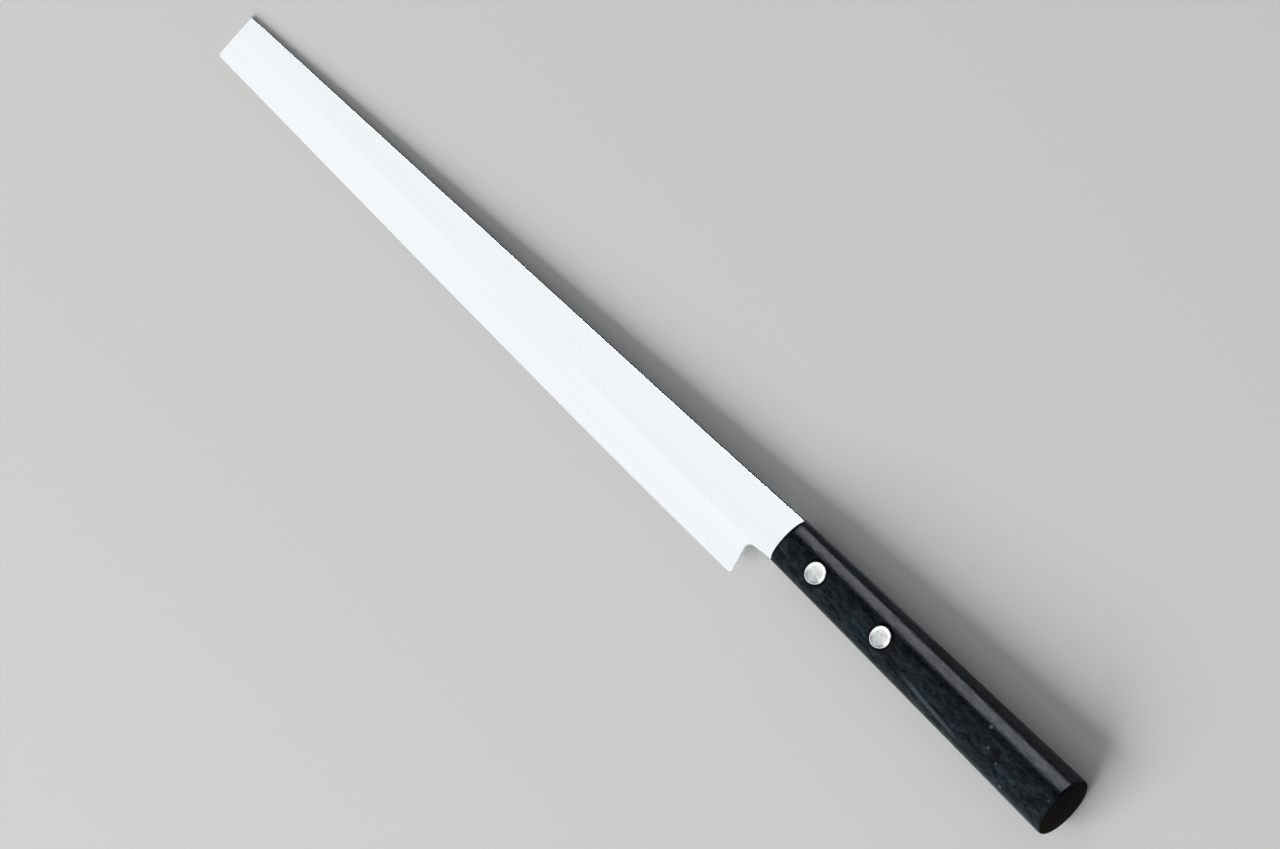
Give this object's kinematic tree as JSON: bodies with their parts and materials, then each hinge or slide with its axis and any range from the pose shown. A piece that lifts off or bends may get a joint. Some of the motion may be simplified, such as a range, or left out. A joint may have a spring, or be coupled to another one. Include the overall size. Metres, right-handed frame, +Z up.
{
  "type": "takohiki knife",
  "caption": "Square-tipped takohiki slicing knife: long single-bevel steel blade with a notched heel, its half tang riveted into a one-piece oval black wood handle.",
  "frame": {"origin": "bottom centre of the bounding box of the knife lying on its side, on its tip and its butt", "axes": "+X from the tip to the butt, +Y from the cutting edge to the spine, +Z up, out of the face that carries the bevel"},
  "size_m": [0.3734, 0.0338, 0.0185],
  "materials": {
    "blade_steel": "stainless steel, polished along the blade",
    "black_wood": "black resin-pressed wood, satin",
    "rivet_steel": "stainless steel, ground flush with the wood"
  },
  "bodies": {
    "root": {"blade": "blade_steel", "handle": "black_wood", "rivet_front_female": "rivet_steel", "rivet_front_male": "rivet_steel", "rivet_rear_female": "rivet_steel", "rivet_rear_male": "rivet_steel"}
  },
  "joints": []
}
